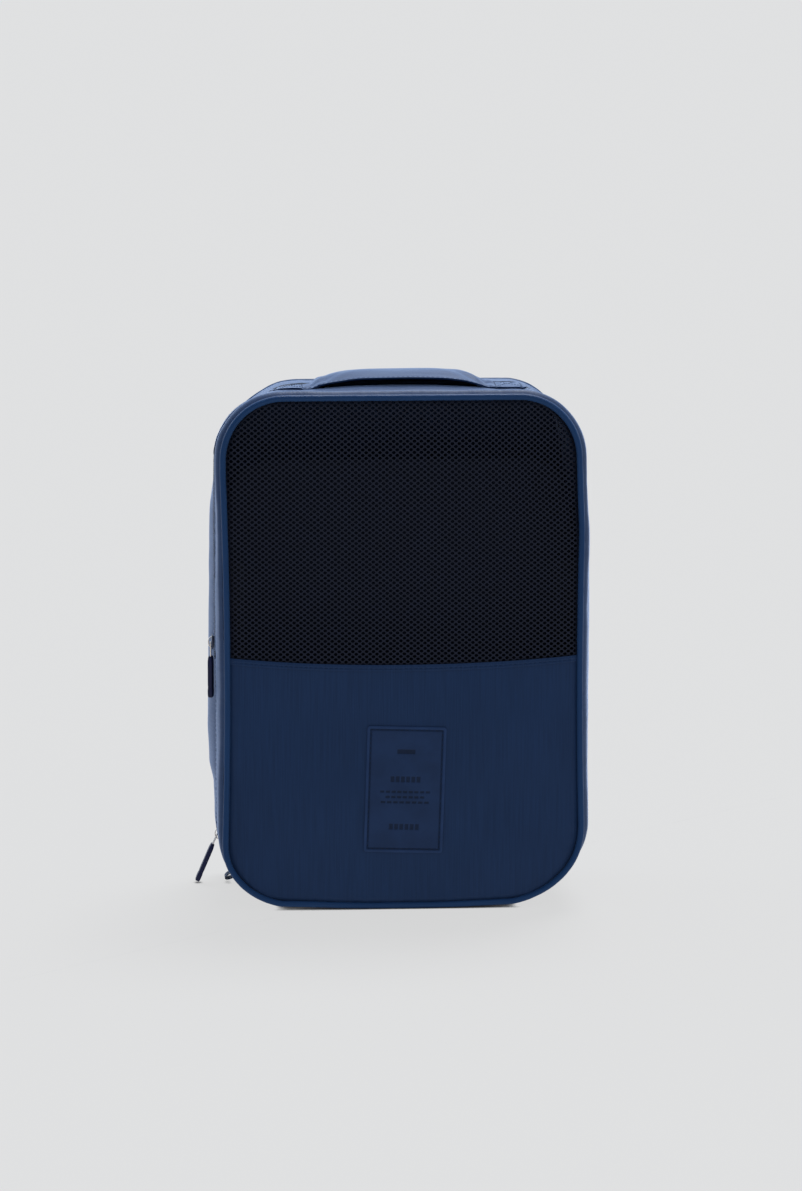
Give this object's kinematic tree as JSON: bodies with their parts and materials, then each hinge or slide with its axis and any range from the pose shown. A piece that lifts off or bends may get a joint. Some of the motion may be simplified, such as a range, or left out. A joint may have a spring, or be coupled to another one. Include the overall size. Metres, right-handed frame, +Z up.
{
  "type": "shoe organizer",
  "caption": "Soft zipped shoe bag that stands on its base, with a mesh window flap, a rear lid, a divider and a top carrying handle.",
  "frame": {"origin": "middle of the flat base, on the surface that the bag stands on", "axes": "+Z up towards the handle, -Y out of the mesh window at the front, +X to the right seen from the front, so both zip sliders are at -X"},
  "size_m": [0.2576, 0.1337, 0.3435],
  "materials": {
    "nylon_shell": "navy ribbed nylon with a satin sheen",
    "piping_cloth": "navy satin cloth over a round cord",
    "window_mesh": "dark open hexagonal polyester net",
    "zip_tape": "navy woven tape",
    "zip_coil": "navy nylon coil",
    "label_patch": "navy coated patch with a fine grain and a pressed pattern",
    "slider_metal": "nickel-plated die casting",
    "pull_rubber": "dark navy moulded rubber",
    "lining": "dark navy lining cloth",
    "hook_and_loop": "dark hook and loop strip",
    "stiffener": "dark grey sheet"
  },
  "bodies": {
    "bag_body": {"base_panel": "nylon_shell", "middle_band": "nylon_shell", "side_strip_left": "nylon_shell", "side_strip_right": "nylon_shell", "front_zip_tape_inner": "zip_tape", "front_zip_coil_inner": "zip_coil", "rear_zip_tape_inner": "zip_tape", "rear_zip_coil_inner": "zip_coil", "handle_strap": "nylon_shell", "handle_patch_left": "nylon_shell", "handle_patch_right": "nylon_shell", "front_panel": "nylon_shell", "window_binding": "nylon_shell", "label_patch": "label_patch", "front_piping_lower": "piping_cloth", "back_panel_lower": "nylon_shell", "back_piping_lower": "piping_cloth", "grip_tab": "nylon_shell", "base_board": "stiffener", "loop_strip_left": "hook_and_loop", "loop_strip_right": "hook_and_loop"},
    "window_flap": {"mesh_window": "window_mesh", "front_band_upper": "nylon_shell", "front_piping_upper": "piping_cloth", "front_zip_tape_outer": "zip_tape", "front_zip_coil_outer": "zip_coil"},
    "rear_lid": {"back_panel": "nylon_shell", "rear_band": "nylon_shell", "back_piping_upper": "piping_cloth", "rear_zip_tape_outer": "zip_tape", "rear_zip_coil_outer": "zip_coil"},
    "front_slider": {"front_slider": "slider_metal"},
    "front_pull": {"front_pull_link": "slider_metal", "front_pull_tab": "pull_rubber"},
    "rear_slider": {"rear_slider": "slider_metal"},
    "rear_pull": {"rear_pull_link": "slider_metal", "rear_pull_tab": "pull_rubber"},
    "divider": {"divider_panel": "lining", "hook_strip_left": "hook_and_loop", "hook_strip_right": "hook_and_loop"}
  },
  "joints": [
    {"name": "window_flap_fold", "type": "hinge", "parent": "bag_body", "child": "window_flap", "pos_m": [0, -0.0673, 0.163], "axis": [1, 0, 0], "range_deg": [0, 140]},
    {"name": "rear_lid_fold", "type": "hinge", "parent": "bag_body", "child": "rear_lid", "pos_m": [0, 0.064, 0.026], "axis": [-1, 0, 0], "range_deg": [0, 92]},
    {"name": "divider_tilt", "type": "hinge", "parent": "bag_body", "child": "divider", "pos_m": [0, -0.0045, 0.006], "axis": [-1, 0, 0], "range_deg": [0, 10]},
    {"name": "front_zip_travel", "type": "slide", "parent": "bag_body", "child": "front_slider", "axis": [0, 0, 1], "range_m": [0, 0.113]},
    {"name": "rear_zip_travel", "type": "slide", "parent": "bag_body", "child": "rear_slider", "axis": [0, 0, 1], "range_m": [0, 0.252]},
    {"name": "front_pull_swing", "type": "hinge", "parent": "front_slider", "child": "front_pull", "pos_m": [-0.12315, -0.035, 0.1712], "axis": [0, 1, 0], "range_deg": [0, 170]},
    {"name": "rear_pull_swing", "type": "hinge", "parent": "rear_slider", "child": "rear_pull", "pos_m": [-0.11815, 0.027, 0.0328], "axis": [0, 1, 0], "range_deg": [0, 145]}
  ]
}
